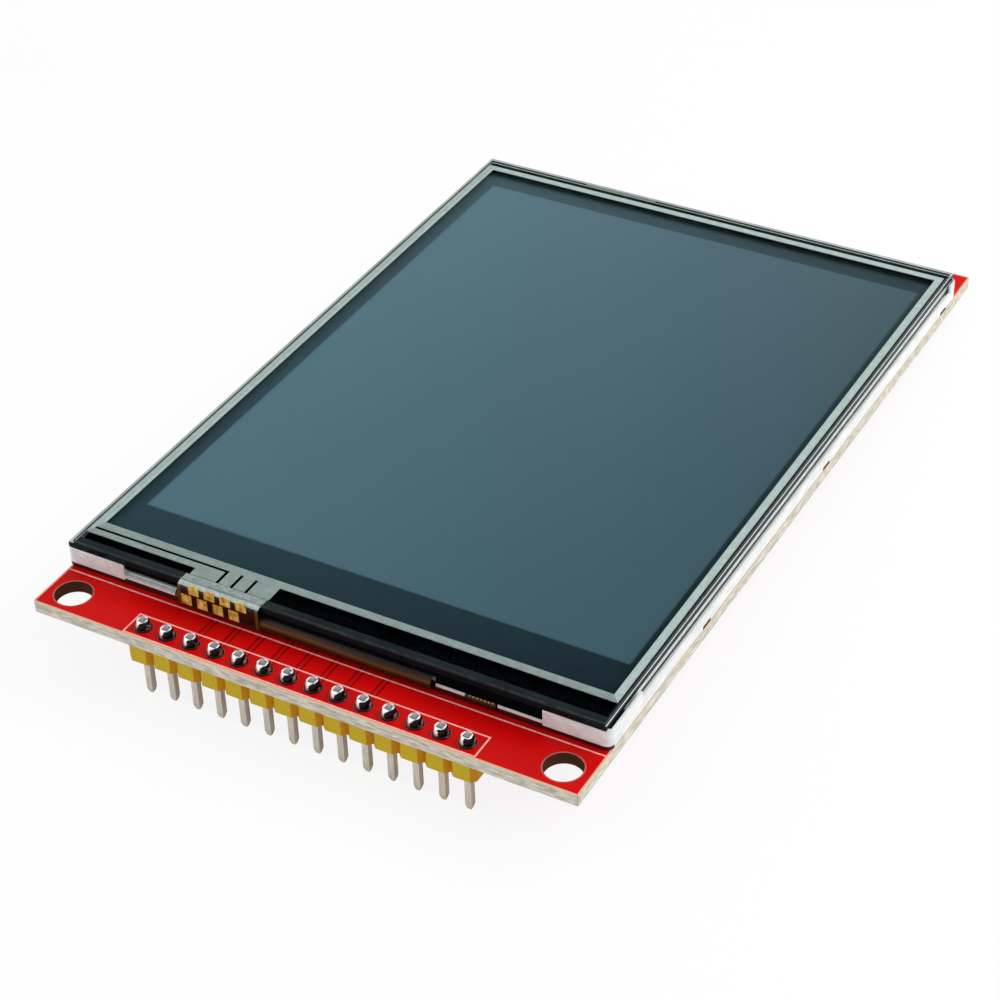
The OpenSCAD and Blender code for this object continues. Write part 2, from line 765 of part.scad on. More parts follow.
module touch_traces() {
    // Printed silver: a closed ring, a lead outside it and the contact pads
    thin_gap = 0.06;
    lead_x0 = film_x[0] + lead_left;
    ring_x = [lead_x0 + lead_left_w + thin_gap, film_x[1] - ring_right];
    lead_y = [ring_y[0] - trace_gap - lead_w, ring_y[0] - trace_gap];
    finger_y0 = touch_y[0] + tail_grip + trace_gap / 4;
    finger_x = concat([for (split = finger_split) tail_x0 + split],
        [tail_x0 + tail_w + finger_split[0]]);
    color("#bccac6") on_display() translate([0, 0, z_trace]) linear_extrude(trace_t) union() {
        difference() {
            translate([ring_x[0], ring_y[0]])
                square([ring_x[1] - ring_x[0], ring_y[1] - ring_y[0]]);
            translate([ring_x[0] + ring_left_w, ring_y[0] + ring_w + 0.1])
                square([ring_x[1] - ring_x[0] - ring_left_w - ring_w,
                    ring_y[1] - ring_y[0] - 2 * ring_w - 0.1]);
        }
        // Lead: up the left side, and along the front to the first contact
        translate([lead_x0, lead_y[0]]) square([lead_left_w, ring_y[1] - lead_y[0]]);
        translate([lead_x0, lead_y[0]])
            square([finger_x[1] - finger_gap / 2 - lead_x0, lead_w]);
        // Contacts that meet the tail
        translate([finger_x[0], finger_y0])
            square([finger_x[1] - finger_gap / 2 - finger_x[0], lead_y[1] - finger_y0]);
        for (i = [1 : 3])
            translate([finger_x[i] + finger_gap / 2, finger_y0])
                square([finger_x[i + 1] - finger_x[i] - finger_gap,
                    ring_y[0] - finger_y0 + eps]);
    }
}

module touch_film() {
    color("#7f979c") on_display() slab(film_x, film_y, [z_film, z_film + touch_film_t]);
}

// ---------------------------------------------------------------- card socket

module peg_places() {
    inset = 1.6;
    for (side = [-1, 1])
        translate([socket_x1 - rear_wall / 2, socket_y + side * (socket_w / 2 - inset), 0])
            children();
}

function contact_y(i) = socket_y + (i - (contact_count - 1) / 2) * contact_pitch;

module socket_base() {
    inner = socket_w - 2 * shell_t;
    rail = (inner - card_w) / 2;
    depth = socket_h - shell_t;
    front = socket_x0 + mouth_lip;
    color("#1c1c1e") difference() {
        union() {
            // Floor against the board
            slab([front, socket_x1], [socket_y - inner / 2, socket_y + inner / 2], [-socket_floor, 0]);
            // Side rails and rear wall
            for (side = [-1, 1])
                translate([0, socket_y + side * (inner - rail) / 2, 0])
                    slab([front, socket_x1], [-rail / 2, rail / 2], [-depth, -socket_floor + eps]);
            slab([socket_x1 - rear_wall, socket_x1], [socket_y - inner / 2, socket_y + inner / 2],
                [-depth, -socket_floor + eps]);
            peg_places() translate([0, 0, -eps]) cylinder(d = peg_d, h = peg_l);
        }
        // A slot for each contact, through the rear wall at the board
        for (i = [0 : contact_count - 1]) translate([0, contact_y(i), 0]) {
            slab([socket_x1 - contact_reach - rear_wall, socket_x1 - rear_wall + eps], [-contact_slot / 2, contact_slot / 2],
                [-socket_floor - 1, 1]);
            slab([socket_x1 - rear_wall - eps, socket_x1 + 1], [-contact_w / 2, contact_w / 2],
                [-contact_t, 1]);
        }
    }
}

module socket_shell() {
    // Folded steel cover with two tongues that press on the card
    x = [socket_x0, socket_x1 - shell_rear];
    slot = 0.45;
    color("#c9ccce") difference() {
        union() {
            difference() {
                slab(x, [socket_y - socket_w / 2, socket_y + socket_w / 2], [-socket_h, shell_top]);
                slab([x[0] - 1, x[1] + 1],
                    [socket_y - socket_w / 2 + shell_t, socket_y + socket_w / 2 - shell_t],
                    [-socket_h + shell_t, 1]);
            }
            // Solder tabs down to the board
            for (side = [-1, 1], dx = shell_tab_x)
                translate([x[0] + dx, socket_y + side * (socket_w - shell_t) / 2, 0])
                    slab([0, shell_tab], [-shell_t / 2, shell_t / 2], [shell_top - eps, 0]);
        }
        // U-shaped cuts that free the tongues
        for (side = [-1, 1])
            translate([x[0] + tongue_x, socket_y + side * tongue_y, -socket_h - 1])
                linear_extrude(2) difference() {
                    square([tongue[0] + slot, tongue[1] + 2 * slot], center = true);
                    translate([slot, 0]) square(tongue, center = true);
                }
        // Viewing windows over the contacts
        for (side = [-1, 1])
            translate([x[1] - window_x, socket_y + side * window_y, -socket_h - 1])
                linear_extrude(2) square(window, center = true);
    }
}

module socket_contacts() {
    // Sprung fingers: foot on the board behind the socket, arm rising to the card
    foot_x = socket_x1 + contact_foot;
    bend_x = socket_x1 - contact_bend;
    tip_x = socket_x1 - contact_reach;
    color("#d8b45a") for (i = [0 : contact_count - 1])
        translate([0, contact_y(i) + contact_w / 2, 0]) rotate([90, 0, 0]) linear_extrude(contact_w)
            polygon([
                [foot_x, 0], [foot_x, -contact_t], [bend_x, -contact_t],
                [tip_x + contact_tip, -contact_drop - contact_t],
                [tip_x, -contact_drop + tip_lift], [tip_x, -contact_drop + tip_lift + contact_t],
                [tip_x + contact_tip, -contact_drop], [bend_x, 0]
            ]);
}

// ---------------------------------------------------------------- small parts

module touch_controller() {
    dimple = [0.6, 0.06];                        // diameter and depth
    corner = 0.8;
    body_h = controller_h - lead_gap;
    color("#1b1b1d") place_under(controller_at) translate([0, 0, lead_gap]) difference() {
        moulded_body(controller_l, controller_w, body_h);
        translate([corner - controller_l / 2, corner - controller_w / 2, body_h - dimple[1]])
            cylinder(d = dimple[0], h = 1);
    }
}

module controller_leads() {
    reach = 1.0;
    lead_h = 0.55;
    leg_w = 0.24;
    color("#cfd2d4") place_under(controller_at)
        for (side = [0, 180], i = [0 : controller_pins - 1])
            rotate([0, 0, side])
                translate([(i - (controller_pins - 1) / 2) * controller_pitch, controller_w / 2, 0])
                    rotate([0, 0, 90]) gull_lead(reach, lead_h, leg_w, leadframe_t);
}

module sot_leads(at) {
    reach = 0.8;
    lead_h = 0.5;
    leg_w = 0.4;
    color("#cfd2d4") place_under(at) {
        for (x = [-sot_pitch, sot_pitch])
            translate([x, -sot_body[1] / 2, 0]) rotate([0, 0, -90]) gull_lead(reach, lead_h, leg_w, leadframe_t);
        translate([0, sot_body[1] / 2, 0]) rotate([0, 0, 90]) gull_lead(reach, lead_h, leg_w, leadframe_t);
    }
}

module sot_package(at) {
    color("#202022") place_under(at) translate([0, 0, lead_gap])
        moulded_body(sot_body[0], sot_body[1], sot_body[2]);
}

module regulator() { sot_package(regulator_at); }

module regulator_leads() { sot_leads(regulator_at); }

module backlight_transistor() { sot_package(transistor_at); }

module transistor_leads() { sot_leads(transistor_at); }

module chip_bodies(places, size) {
    for (at = places) place_under(at)
        translate([0, 0, size[2] / 2])
            cube([size[0] - 2 * size[3], size[1], size[2]], center = true);
}

module chip_caps(places, size) {
    cap_t = 0.03;
    for (at = places) place_under(at) for (side = [-1, 1])
        translate([side * (size[0] - size[3]) / 2, 0, (size[2] + cap_t) / 2])
            cube([size[3], size[1] + cap_t, size[2] + cap_t], center = true);
}

module resistors() { color("#17181a") chip_bodies(resistor_at, resistor); }

module resistor_caps() { color("#d3d5d6") chip_caps(resistor_at, resistor); }

module capacitors() { color("#a5825a") chip_bodies(capacitor_at, capacitor); }

module capacitor_caps() { color("#d3d5d6") chip_caps(capacitor_at, capacitor); }

// ---------------------------------------------------------------- output

pcb();
copper_pads();
header_housing();
header_pins();
header_solder();
display_tape();
reflector_sheet();
backlight_frame();
light_guide();
led_flex();
backlight_leds();
diffuser_sheet();
lower_prism_sheet();
upper_prism_sheet();
rim_tape();
rear_polariser();
tft_glass();
colour_filter_glass();
front_polariser();
driver_chip();
ledge_tape();
main_flex();
main_flex_solder();
touch_adhesive();
touch_glass();
touch_traces();
touch_film();
touch_tail();
socket_base();
socket_shell();
socket_contacts();
touch_controller();
controller_leads();
regulator();
regulator_leads();
backlight_transistor();
transistor_leads();
resistors();
resistor_caps();
capacitors();
capacitor_caps();
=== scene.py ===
import json
import math
import bpy
import bmesh
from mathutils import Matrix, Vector


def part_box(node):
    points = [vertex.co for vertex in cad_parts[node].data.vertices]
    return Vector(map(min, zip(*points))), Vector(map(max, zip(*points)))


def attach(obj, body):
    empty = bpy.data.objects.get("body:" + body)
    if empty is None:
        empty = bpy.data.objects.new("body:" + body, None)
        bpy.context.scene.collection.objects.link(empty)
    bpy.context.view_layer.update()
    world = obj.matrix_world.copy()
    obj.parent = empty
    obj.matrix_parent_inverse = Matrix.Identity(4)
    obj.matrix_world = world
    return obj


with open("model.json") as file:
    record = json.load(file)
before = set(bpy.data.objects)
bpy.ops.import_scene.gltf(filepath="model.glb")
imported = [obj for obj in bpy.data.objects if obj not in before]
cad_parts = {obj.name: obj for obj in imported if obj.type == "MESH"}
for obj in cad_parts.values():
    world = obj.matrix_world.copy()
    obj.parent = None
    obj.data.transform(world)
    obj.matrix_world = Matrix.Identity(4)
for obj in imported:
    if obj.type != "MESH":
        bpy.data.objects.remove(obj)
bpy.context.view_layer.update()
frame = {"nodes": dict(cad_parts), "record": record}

scene = bpy.context.scene
nodes = frame["nodes"]
mm = 0.001


boardLow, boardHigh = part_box("pcb")
boardTop = boardHigh[2]


def hexColour(code):
    # sRGB hex to the linear colour that a shader wants
    parts = [int(code[i:i + 2], 16) / 255 for i in (1, 3, 5)]
    linear = [p / 12.92 if p <= 0.04045 else ((p + 0.055) / 1.055) ** 2.4 for p in parts]
    return (*linear, 1.0)


def addNode(tree, kind, sets=None, feeds=None):
    # A feed is a plain value, or the socket that drives the input
    node = tree.nodes.new(kind)
    for name, value in (sets or {}).items():
        setattr(node, name, value)
    for key, value in (feeds or {}).items():
        if isinstance(value, bpy.types.NodeSocket):
            tree.links.new(value, node.inputs[key])
        else:
            node.inputs[key].default_value = value
    return node


def newMaterial(name, **plain):
    # A Principled material; plain values go straight onto the shader's sockets
    material = bpy.data.materials.new(name)
    material.use_nodes = True
    tree = material.node_tree
    tree.nodes.clear()
    shader = addNode(tree, "ShaderNodeBsdfPrincipled")
    addNode(tree, "ShaderNodeOutputMaterial", feeds={"Surface": shader.outputs[0]})
    for name, value in plain.items():
        shader.inputs[name.replace("_", " ")].default_value = value
    return material, tree, shader


def place(tree):
    return addNode(tree, "ShaderNodeTexCoord").outputs["Object"]


def axes(tree, vector):
    return addNode(tree, "ShaderNodeSeparateXYZ", feeds={0: vector}).outputs


def facing(tree):
    return axes(tree, addNode(tree, "ShaderNodeTexCoord").outputs["Normal"])


def cloudNoise(tree, grainMm, detail=3.0, stretch=(1, 1, 1)):
    # Soft noise at a real grain size
    spot = addNode(tree, "ShaderNodeMapping", feeds={"Vector": place(tree), "Scale": stretch})
    return addNode(tree, "ShaderNodeTexNoise", feeds={
        "Vector": spot.outputs[0], "Scale": 1 / (grainMm * mm), "Detail": detail}).outputs["Fac"]


def bandRamp(tree, value, bands):
    # Colours one after another along a value, each with its place
    ramp = addNode(tree, "ShaderNodeValToRGB", feeds={"Fac": value})
    stops = ramp.color_ramp.elements
    while len(stops) < len(bands):
        stops.new(bands[len(stops)][1])
    for stop, (code, at) in zip(stops, bands):
        stop.position = at
        stop.color = hexColour(code)
    return ramp.outputs["Color"]


def mottle(tree, grainMm, low, high, detail=3.0, stretch=(1, 1, 1)):
    # Cloudy mix of two colours at a real grain size
    return bandRamp(tree, cloudNoise(tree, grainMm, detail, stretch), ((low, 0.3), (high, 0.7)))


def roughBump(tree, shader, grainMm, depthMm, detail=3.0, stretch=(1, 1, 1)):
    # Fine relief, as deep as it is on the real surface
    bump = addNode(tree, "ShaderNodeBump", feeds={
        "Height": cloudNoise(tree, grainMm, detail, stretch), "Distance": depthMm * mm,
        "Strength": 1.0})
    tree.links.new(bump.outputs[0], shader.inputs["Normal"])


def maths(tree, operation, a, b=0.0):
    return addNode(tree, "ShaderNodeMath", {"operation": operation}, {0: a, 1: b}).outputs[0]


def ranged(tree, value, start, end, first=0.0, last=1.0):
    # Goes from first to last while the value goes from start to end
    return addNode(tree, "ShaderNodeMapRange", feeds={
        "Value": value, "From Min": start, "From Max": end, "To Min": first,
        "To Max": last}).outputs[0]


def blendColour(tree, factor, a, b):
    mix = addNode(tree, "ShaderNodeMix", {"data_type": "RGBA"}, {"Factor": factor})
    for socket, value in ((mix.inputs[6], a), (mix.inputs[7], b)):
        if isinstance(value, bpy.types.NodeSocket):
            tree.links.new(value, socket)
        else:
            socket.default_value = value
    return mix.outputs[2]


def plainFinish(name, codes, grainMm, relief=None, stretch=(1, 1, 1), **plain):
    # One cloudy pair of colours, with a relief where the surface has one
    material, tree, shader = newMaterial(name, **plain)
    tree.links.new(mottle(tree, grainMm, *codes, stretch=stretch), shader.inputs["Base Color"])
    if relief:
        roughBump(tree, shader, **relief)
    return material


def redSolderMask():
    # FR-4 laminate under gloss red solder mask: an even lacquer that stops just short of the
    # edges and has painted shade making it dull brown along the sides under the display, cut
    # edges of pale glass cloth and resin in flat layers with a painted highlight as a creamy line
    # at the top, and drilled walls in brown laminate darkened by painted shade
    look = {"mask": ("#C00606", "#D00C0A"), "maskMm": 9, "maskRough": 0.3,
            "edge": ("#B0B09C", "#EEE4D9"), "layerMm": 0.22, "layerStretch": (0.22, 0.22, 1),
            "edgeRough": 0.75, "edgeTopHighlight": "#EBD5B2", "highlightLineMm": 0.13,
            "holeWallShade": "#4A2A1C", "outerMm": 0.05, "bare": "#D9A890", "bareMm": 0.16,
            "shadeUnderFrame": "#5C3A34", "shadeUnderFrameMm": 2.5, "shortFrontMm": 1.5, "shortBackMm": 1.0}
    material, tree, shader = newMaterial("solder mask, gloss red", IOR=1.5,
                                         Specular_IOR_Level=0.06)
    where, turned = axes(tree, place(tree)), facing(tree)
    away = addNode(tree, "ShaderNodeVectorMath", {"operation": "ABSOLUTE"}, {0: place(tree)})
    away = axes(tree, away.outputs[0])
    beyond = maths(tree, "MAXIMUM", maths(tree, "SUBTRACT", away[0], boardHigh[0]),
                   maths(tree, "SUBTRACT", away[1], boardHigh[1]))

    # Cut edges, and walls of holes darkened with painted shade
    cloth = mottle(tree, look["layerMm"], *look["edge"], stretch=look["layerStretch"])
    # Painted highlight: a creamy line along the top of the cut edges
    highlightBand = maths(tree, "GREATER_THAN", where[2], boardTop - look["highlightLineMm"] * mm)
    edge = blendColour(tree, highlightBand, cloth, hexColour(look["edgeTopHighlight"]))
    rim = maths(tree, "GREATER_THAN", beyond, -look["outerMm"] * mm)
    side = blendColour(tree, rim, hexColour(look["holeWallShade"]), edge)

    # Lacquer, bare along the edges, with painted shade along the sides under the display
    coat = mottle(tree, look["maskMm"], *look["mask"], detail=1)
    coat = blendColour(tree, maths(tree, "GREATER_THAN", beyond, -look["bareMm"] * mm), coat,
                       hexColour(look["bare"]))
    low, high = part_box("backlight_frame")
    under = maths(
        tree, "MULTIPLY",
        maths(tree, "GREATER_THAN", where[1], low[1] + look["shortFrontMm"] * mm),
        maths(tree, "LESS_THAN", where[1], high[1] - look["shortBackMm"] * mm))
    under = maths(tree, "MULTIPLY", under, maths(
        tree, "GREATER_THAN", away[0], boardHigh[0] - look["shadeUnderFrameMm"] * mm))
    under = maths(tree, "MULTIPLY", under, maths(tree, "GREATER_THAN", turned[2], 0.5))
    coat = blendColour(tree, under, coat, hexColour(look["shadeUnderFrame"]))

    flat = maths(tree, "GREATER_THAN", maths(tree, "ABSOLUTE", turned[2]), 0.5)
    tree.links.new(blendColour(tree, flat, side, coat), shader.inputs["Base Color"])
    tree.links.new(ranged(tree, flat, 0.0, 1.0, look["edgeRough"], look["maskRough"]),
                   shader.inputs["Roughness"])
    roughBump(tree, shader, 1.2, 0.003, detail=1)
    return material


def brightTin():
    # Reflowed tin on copper: warm grey, kept darker than bright tin as painted shade round the
    # joints, soft grain, a few dull patches
    look = {"metal": ("#54484A", "#8F8583"), "grainMm": 0.3, "rough": (0.18, 0.42)}
    material, tree, shader = newMaterial("bright tin on copper", Metallic=1.0, Roughness=0.25)
    # Painted shade: both metal colours kept dark
    tree.links.new(mottle(tree, look["grainMm"], *look["metal"]), shader.inputs["Base Color"])
    tree.links.new(ranged(tree, cloudNoise(tree, look["grainMm"]), 0.0, 1.0, *look["rough"]),
                   shader.inputs["Roughness"])
    roughBump(tree, shader, 0.15, 0.002)
    return material


def yellowNylon():
    # Glass-filled nylon, moulded: yellow with a faint speckle, deep amber where light soaks
    # through the thin notched corners, which face halfway between x and y
    look = {"face": ("#C6A61C", "#D2B322"), "notch": "#C88A06", "grainMm": 0.35,
            "halfway": 0.7, "halfwayBand": 0.2}
    material, tree, shader = newMaterial("moulded nylon, yellow", Roughness=0.5, IOR=1.53,
                                         Specular_IOR_Level=0.15)
    body = mottle(tree, look["grainMm"], *look["face"])
    off = maths(tree, "SUBTRACT", maths(tree, "ABSOLUTE", facing(tree)[0]), look["halfway"])
    slanted = maths(tree, "LESS_THAN", maths(tree, "ABSOLUTE", off), look["halfwayBand"])
    tree.links.new(blendColour(tree, slanted, body, hexColour(look["notch"])),
                   shader.inputs["Base Color"])
    roughBump(tree, shader, 0.08, 0.002)
    return material


def platedPin():
    # Phosphor bronze with a thin matt plating: pale drawn sides, wetted with solder above
    # the board
    look = {"plating": ("#D6CEBE", "#EEE8DC"), "grainMm": 0.25, "drawn": (1, 1, 0.12),
            "wetted": "#9A9699"}
    material, tree, shader = newMaterial("plated pin, satin", Metallic=0.4, Roughness=0.45)
    colour = mottle(tree, look["grainMm"], *look["plating"], stretch=look["drawn"])
    above = maths(tree, "GREATER_THAN", axes(tree, place(tree))[2], boardTop)
    colour = blendColour(tree, above, colour, hexColour(look["wetted"]))
    tree.links.new(colour, shader.inputs["Base Color"])
    roughBump(tree, shader, 0.06, 0.0015, stretch=(1, 1, 0.08))
    return material


def brightSolder():
    # Tin-lead solder, freshly wetted: mirror skin with painted reflections, white on one flank and
    # on top, black round the other, and painted shade where it meets the board
    look = {"bands": (("#C9C4C6", 0.03), ("#0B0608", 0.13), ("#0B0608", 0.56), ("#6E686B", 0.61),
                      ("#FAFAFB", 0.66), ("#F4F4F5", 0.9), ("#4A4346", 0.99)),
            "paintedLightFrom": (-0.9, -0.15, 0.42), "paintedLightShare": 0.5, "streakMm": 0.42,
            "streakShare": 0.5, "start": 0.25, "foot": "#1A0C0D", "footFrom": 0.1, "footTo": 0.3}
    material, tree, shader = newMaterial("solder, mirror bright", Metallic=0.75, Roughness=0.22)
    # Painted reflection: white and black bands set by the way the surface faces, with streaks
    turned = addNode(tree, "ShaderNodeVectorMath", {"operation": "DOT_PRODUCT"}, {
        0: addNode(tree, "ShaderNodeTexCoord").outputs["Normal"], 1: look["paintedLightFrom"]})
    turned = maths(tree, "MULTIPLY", turned.outputs["Value"], look["paintedLightShare"])
    streak = maths(tree, "MULTIPLY", cloudNoise(tree, look["streakMm"], detail=1.0),
                   look["streakShare"])
    shade = maths(tree, "ADD", maths(tree, "ADD", turned, streak), look["start"])
    low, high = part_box("header_solder")
    tall = high[2] - low[2]
    # Painted shade, dark towards the board
    foot = ranged(tree, axes(tree, place(tree))[2], low[2] + look["footFrom"] * tall,
                  low[2] + look["footTo"] * tall, 1.0, 0.0)
    tree.links.new(blendColour(tree, foot, bandRamp(tree, shade, look["bands"]),
                               hexColour(look["foot"])), shader.inputs["Base Color"])
    roughBump(tree, shader, 0.45, 0.015, detail=1)
    return material


def whiteTape():
    # Acrylic foam tape: soft, matt, off-white
    return plainFinish("acrylic foam tape", ("#D9D6CC", "#ECEAE2"), 0.3,
                       {"grainMm": 0.12, "depthMm": 0.01}, Roughness=0.9)


def whiteFilm():
    # Voided white polyester: even satin sheet
    return plainFinish("white polyester film", ("#ECEEEE", "#F6F7F7"), 2,
                       {"grainMm": 0.4, "depthMm": 0.001}, Roughness=0.5)


def whitePolycarbonate():
    # Moulded polycarbonate frame: bright white with fine flow marks, painted shade as a grey line
    # where it meets the board, and painted shadow along the bottom of its front
    look = {"white": ("#E0E3E2", "#F8F9F8"), "grainMm": 0.8, "flow": (1, 0.4, 2),
            "foot": "#3A0A09", "footMm": 0.42, "railMm": 0.62, "postMm": 6.4, "frontMm": 0.7,
            "line": "#8A7F7C", "lineMm": 0.09}
    material, tree, shader = newMaterial("polycarbonate, moulded white", Roughness=0.42, IOR=1.58,
                                         Specular_IOR_Level=0.3)
    colour = mottle(tree, look["grainMm"], *look["white"], stretch=look["flow"])
    where = axes(tree, place(tree))
    low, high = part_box("backlight_frame")
    off = maths(tree, "ABSOLUTE", maths(tree, "SUBTRACT", where[0], (low[0] + high[0]) / 2))
    middle = maths(tree, "LESS_THAN", off, (high[0] - low[0]) / 2 - look["postMm"] * mm)
    front = maths(tree, "LESS_THAN", where[1], low[1] + look["frontMm"] * mm)
    # Painted shadow along the bottom of the front, taller on the low rail between the posts
    footTop = maths(tree, "ADD", maths(
        tree, "MULTIPLY", middle, (look["railMm"] - look["footMm"]) * mm),
        boardTop + look["footMm"] * mm)
    foot = maths(tree, "LESS_THAN", where[2], footTop)
    # Painted shade: a grey line where the frame meets the board
    line = maths(tree, "LESS_THAN", where[2], boardTop + look["lineMm"] * mm)
    colour = blendColour(tree, line, colour, hexColour(look["line"]))
    colour = blendColour(tree, maths(tree, "MULTIPLY", front, foot), colour, hexColour(look["foot"]))
    tree.links.new(colour, shader.inputs["Base Color"])
    roughBump(tree, shader, 0.2, 0.004)
    return material


def acrylicGuide():
    # Clear acrylic light guide with a fine dotted texture
    return plainFinish("acrylic, clear dotted", ("#D8E8EA", "#EEF6F7"), 0.3, Roughness=0.2,
                       IOR=1.49, Transmission_Weight=0.6)


def polyimideFlex():
    # Amber polyimide film over etched copper, its own brown shaded by height: painted shade
    # red-brown low on the bend, a painted amber highlight where it turns to the light, painted
    # shade near black above, tracks just showing through
    look = {"foldLightAndShade": (("#200C05", 0.0), ("#30160A", 0.5), ("#68401A", 0.7), ("#442812", 0.79),
                     ("#0E0805", 0.93)), "wanderMm": 2.5, "wanderStretch": (0.25, 1, 1),
            "wander": 0.3, "overCopper": "#7A4A1A", "copperShare": 0.08, "pitchMm": 0.36,
            "trackSides": (-0.2, 0.4), "trackMm": 0.002}
    material, tree, shader = newMaterial("polyimide film on copper", Roughness=0.35, IOR=1.7,
                                         Specular_IOR_Level=0.1)
    where = axes(tree, place(tree))
    low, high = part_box("main_flex")
    wave = maths(tree, "SINE", maths(tree, "MULTIPLY", where[0],
                                     2 * math.pi / (look["pitchMm"] * mm)))
    track = ranged(tree, wave, *look["trackSides"])
    cloud = cloudNoise(tree, look["wanderMm"], stretch=look["wanderStretch"])
    wander = maths(tree, "MULTIPLY", maths(tree, "SUBTRACT", cloud, 0.5), look["wander"])
    # Painted highlight and shade, set by height
    height = maths(tree, "ADD", ranged(tree, where[2], low[2], high[2]), wander)
    colour = blendColour(tree, maths(tree, "MULTIPLY", track, look["copperShare"]),
                         bandRamp(tree, height, look["foldLightAndShade"]), hexColour(look["overCopper"]))
    tree.links.new(colour, shader.inputs["Base Color"])
    bump = addNode(tree, "ShaderNodeBump",
                   feeds={"Height": track, "Distance": look["trackMm"] * mm})
    tree.links.new(bump.outputs[0], shader.inputs["Normal"])
    return material


def ledBody():
    # Side-view LED: white moulded cup, tinged by the phosphor in its outlet
    return plainFinish("LED moulding, white", ("#EFE9C0", "#F6F3E4"), 0.4, Roughness=0.5)


def prismFilm():
    # Prism film: hazy clear sheet with a soft silvery sheen
    return plainFinish("prism film, satin clear", ("#E4EBEC", "#F2F6F6"), 2, Roughness=0.35,
                       IOR=1.57, Transmission_Weight=0.4)


def slantShine(tree, sharpness):
    # None seen square on, all at a slant, the later the sharper
    slant = addNode(tree, "ShaderNodeLayerWeight", feeds={"Blend": 0.5}).outputs["Facing"]
    return maths(tree, "POWER", slant, sharpness)


def skinGloss(tree, shader, colour, sharpness=5.4):
    # The clear layers' shine, laid on what is under them
    shine = slantShine(tree, sharpness)
    tree.links.new(blendColour(tree, shine, colour, (1, 1, 1, 1)), shader.inputs["Base Color"])
    tree.links.new(shine, shader.inputs["Metallic"])


def blackTape():
    # Black polyester tape: soot black with a weak satin sheen
    material, tree, shader = newMaterial("polyester tape, black", Roughness=0.5,
                                         Specular_IOR_Level=0.0)
    skinGloss(tree, shader, mottle(tree, 1.2, "#03070A", "#070E12"), sharpness=7)
    roughBump(tree, shader, 0.5, 0.003)
    return material


def polariserFilm():
    # Iodine polariser over the cell: blue-grey in the picture area, dark teal round it, and a
    # painted reflection makes it a little lighter to the left and to the far end
    look = {"widthMm": 50.2, "frontMm": 8.62, "lengthMm": 66.3, "softMm": 0.12,
            "picture": ("#4F727D", "#3B5862", "#537681", "#40565F"),
            "border": ("#283E47", "#15262D", "#3A555D", "#26393F")}
    material, tree, shader = newMaterial("polariser, dark teal", Roughness=0.25,
                                         Specular_IOR_Level=0.0)
    low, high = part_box("touch_glass")
    where = axes(tree, place(tree))
    across = ranged(tree, where[0], low[0], high[0])
    along = ranged(tree, where[1], low[1], high[1])

    # Painted reflection: each colour eases from corner to corner
    def paintedReflectionCorners(codes):
        nearLeft, nearRight, farLeft, farRight = [hexColour(code) for code in codes]
        return blendColour(tree, along, blendColour(tree, across, nearLeft, nearRight),
                           blendColour(tree, across, farLeft, farRight))

    def within(value, centre, size):
        off = maths(tree, "ABSOLUTE", maths(tree, "SUBTRACT", value, centre))
        return ranged(tree, off, (size / 2 - look["softMm"]) * mm,
                      (size / 2 + look["softMm"]) * mm, 1.0, 0.0)

    middle = low[1] + (look["frontMm"] + look["lengthMm"] / 2) * mm
    inside = maths(tree, "MULTIPLY", within(where[0], 0.0, look["widthMm"]),
                   within(where[1], middle, look["lengthMm"]))
    colour = blendColour(tree, inside, paintedReflectionCorners(look["border"]), paintedReflectionCorners(look["picture"]))
    skinGloss(tree, shader, colour)
    return material


def clearSheet(name, sideCodes, margins=(), span=None):
    # Clear sheet with polished faces. Its cut edges are solid in colour, other ones in a span
    # (box, two colours), and each margin clouds what lies outside a box: (box, two colours,
    # how solid)
    look = {"edgeMm": 0.8, "hazeMm": 3, "sharpness": 14}
    material, tree, shader = newMaterial(name, Roughness=0.05, Specular_IOR_Level=0.05)
    onEdge = maths(tree, "LESS_THAN", maths(tree, "ABSOLUTE", facing(tree)[2]), 0.5)
    onFace = maths(tree, "SUBTRACT", 1.0, onEdge)
    where = axes(tree, place(tree))
    edge = mottle(tree, look["edgeMm"], *sideCodes)
    if span:
        (low, high), codes = span
        inside = maths(tree, "MULTIPLY", maths(tree, "GREATER_THAN", where[0], low[0]),
                       maths(tree, "LESS_THAN", where[0], high[0]))
        edge = blendColour(tree, inside, edge, mottle(tree, look["edgeMm"], *codes))
    colour = blendColour(tree, onEdge, (1, 1, 1, 1), edge)
    metal = onFace
    solid = maths(tree, "MAXIMUM", slantShine(tree, look["sharpness"]), onEdge)
    for (low, high), codes, amount in margins:
        outside = 0.0
        for axis in (0, 1):
            for test, limit in (("LESS_THAN", low), ("GREATER_THAN", high)):
                outside = maths(tree, "MAXIMUM", outside,
                                maths(tree, test, where[axis], limit[axis]))
        onTop = maths(tree, "MULTIPLY", outside, onFace)
        colour = blendColour(tree, onTop, colour, mottle(tree, look["hazeMm"], *codes))
        solid = maths(tree, "MAXIMUM", solid, maths(tree, "MULTIPLY", onTop, amount))
        metal = maths(tree, "MULTIPLY", metal, maths(tree, "SUBTRACT", 1.0, onTop))
    tree.links.new(colour, shader.inputs["Base Color"])
    tree.links.new(metal, shader.inputs["Metallic"])
    tree.links.new(solid, shader.inputs["Alpha"])
    return material


